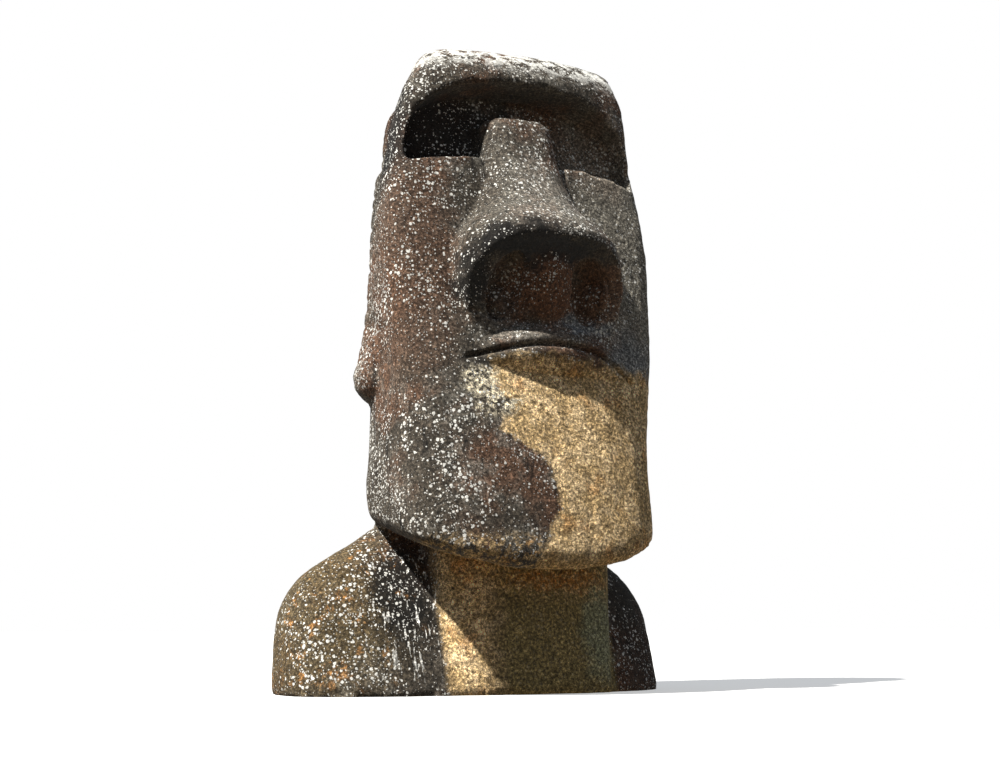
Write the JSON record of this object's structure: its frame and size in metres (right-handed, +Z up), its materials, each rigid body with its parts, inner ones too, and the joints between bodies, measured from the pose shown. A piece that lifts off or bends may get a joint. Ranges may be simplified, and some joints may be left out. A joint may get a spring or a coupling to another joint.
{
  "type": "moai stone head statue",
  "caption": "Colossal stone head and shoulders of traditional moai form, carved from one block of volcanic tuff: heavy brow, long nose, thin lips, squared jaw, cut off flat at the ground.",
  "frame": {"origin": "centre of the bounding box on the ground, where the block is cut off flat", "axes": "+Z up; the face looks along -Y, tipped a little back; the figure's right side is towards -X"},
  "size_m": [2.548, 1.5584, 4.2022],
  "materials": {
    "stone": "rough weathered volcanic tuff, dark brown-grey with pale lichen"
  },
  "bodies": {
    "root": {"moai": "stone"}
  },
  "joints": []
}
